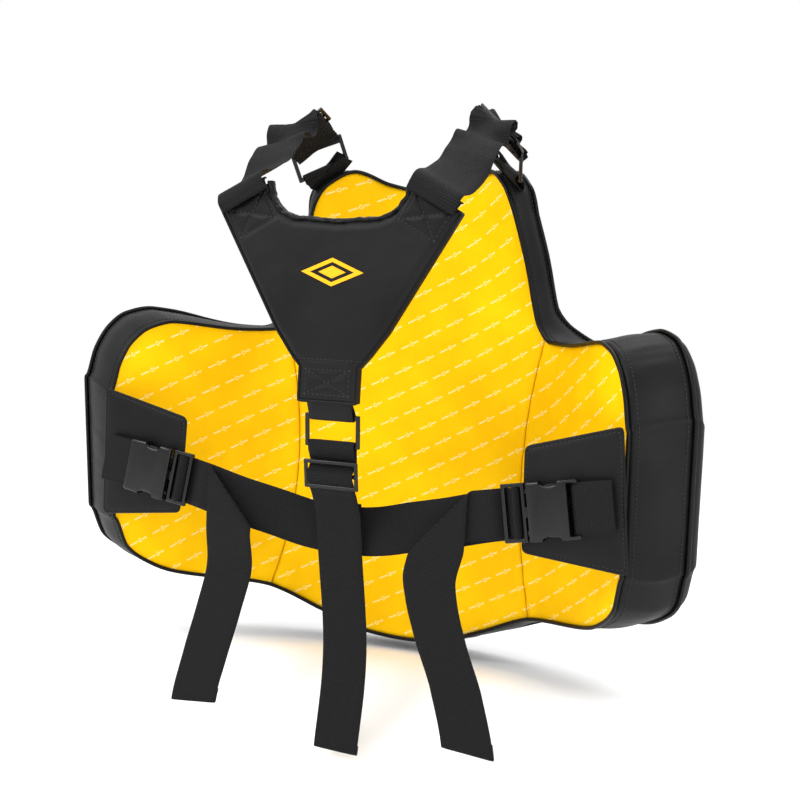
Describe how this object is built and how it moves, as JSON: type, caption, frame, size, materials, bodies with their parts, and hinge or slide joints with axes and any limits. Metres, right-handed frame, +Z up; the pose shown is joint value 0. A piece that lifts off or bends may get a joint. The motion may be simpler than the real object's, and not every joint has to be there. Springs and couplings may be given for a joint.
{
  "type": "chest protector",
  "caption": "Padded body protector for boxing trainers: a curved front panel with side wings, shoulder straps, a back pad and a waist belt with side-release buckles.",
  "frame": {"origin": "middle of the centre lining, on the face that lies against the wearer's chest", "axes": "+Z up, +Y out through the padding in front of the wearer, -Y towards the wearer's back, -X to the wearer's left"},
  "size_m": [0.7042, 0.3239, 0.6935],
  "materials": {
    "pu_black": "satin black polyurethane leather with a fine moulded grain",
    "lining_yellow": "bright yellow printed nylon lining",
    "foam_grey": "closed-cell foam sheet, never seen",
    "webbing_black": "black polypropylene webbing with lengthwise ribs",
    "acetal_black": "injection-moulded black acetal, half gloss",
    "emblem_yellow": "raised orange-yellow diamond print"
  },
  "bodies": {
    "root": {"front_cover": "pu_black", "gusset": "pu_black", "front_piping": "pu_black", "lining_piping": "pu_black", "chest_foam": "foam_grey", "belly_foam": "foam_grey", "left_side_foam": "foam_grey", "right_side_foam": "foam_grey", "centre_lining": "lining_yellow", "left_lining": "lining_yellow", "right_lining": "lining_yellow", "left_flap": "pu_black", "right_flap": "pu_black", "left_front_tab": "pu_black", "right_front_tab": "pu_black", "left_shoulder_ring": "acetal_black", "right_shoulder_ring": "acetal_black", "left_strap_front": "webbing_black", "right_strap_front": "webbing_black", "left_shoulder_glide": "acetal_black", "right_shoulder_glide": "acetal_black", "waist_belt": "webbing_black", "belt_keeper": "webbing_black", "left_buckle_stub": "webbing_black", "right_buckle_stub": "webbing_black", "left_buckle_socket": "acetal_black", "right_buckle_socket": "acetal_black"},
    "harness": {"left_strap_back": "webbing_black", "right_strap_back": "webbing_black", "back_pad_cover": "pu_black", "back_pad_lining": "pu_black", "back_pad_foam": "foam_grey", "back_pad_piping": "pu_black", "back_pad_emblem": "emblem_yellow", "neck_binding": "pu_black", "centre_tab": "pu_black"},
    "centre_link": {"centre_ring": "acetal_black", "centre_strap": "webbing_black"},
    "centre_adjuster": {"centre_glide": "acetal_black"},
    "left_plug": {"left_buckle_plug": "acetal_black", "left_tail": "webbing_black"},
    "right_plug": {"right_buckle_plug": "acetal_black", "right_tail": "webbing_black"},
    "left_upper_arm": {"left_buckle_plug_upper_arm": "acetal_black"},
    "left_lower_arm": {"left_buckle_plug_lower_arm": "acetal_black"},
    "right_upper_arm": {"right_buckle_plug_upper_arm": "acetal_black"},
    "right_lower_arm": {"right_buckle_plug_lower_arm": "acetal_black"}
  },
  "joints": [
    {"name": "harness_swing", "type": "hinge", "parent": "root", "child": "harness", "pos_m": [0, -0.16, 0.346], "axis": [-1, 0, 0], "range_deg": [0, 75]},
    {"name": "centre_ring_swing", "type": "hinge", "parent": "harness", "child": "centre_link", "pos_m": [0, -0.22877, 0.06064], "axis": [-1, 0, 0], "range_deg": [0, 60]},
    {"name": "centre_glide_slide", "type": "slide", "parent": "centre_link", "child": "centre_adjuster", "axis": [0, 0.2, -0.9798], "range_m": [0, 0.02]},
    {"name": "left_buckle_pull", "type": "slide", "parent": "root", "child": "left_plug", "axis": [0.9866, 0, -0.1633], "range_m": [0, 0.025]},
    {"name": "right_buckle_pull", "type": "slide", "parent": "root", "child": "right_plug", "axis": [-0.9866, 0, -0.1633], "range_m": [0, 0.025]},
    {"name": "left_upper_arm_squeeze", "type": "hinge", "parent": "left_plug", "child": "left_upper_arm", "pos_m": [-0.19975, -0.205, 0.00157], "axis": [0, -1, 0], "range_deg": [0, 11]},
    {"name": "left_lower_arm_squeeze", "type": "hinge", "parent": "left_plug", "child": "left_lower_arm", "pos_m": [-0.20628, -0.205, -0.03789], "axis": [0, 1, 0], "range_deg": [0, 11]},
    {"name": "right_upper_arm_squeeze", "type": "hinge", "parent": "right_plug", "child": "right_upper_arm", "pos_m": [0.19975, -0.205, 0.00157], "axis": [0, 1, 0], "range_deg": [0, 11]},
    {"name": "right_lower_arm_squeeze", "type": "hinge", "parent": "right_plug", "child": "right_lower_arm", "pos_m": [0.20628, -0.205, -0.03789], "axis": [0, -1, 0], "range_deg": [0, 11]}
  ],
  "couplings": [
    {"joint": "left_upper_arm_squeeze", "follows": "left_buckle_pull", "rad_per_m": 7.2},
    {"joint": "left_lower_arm_squeeze", "follows": "left_buckle_pull", "rad_per_m": 7.2},
    {"joint": "right_upper_arm_squeeze", "follows": "right_buckle_pull", "rad_per_m": 7.2},
    {"joint": "right_lower_arm_squeeze", "follows": "right_buckle_pull", "rad_per_m": 7.2}
  ]
}
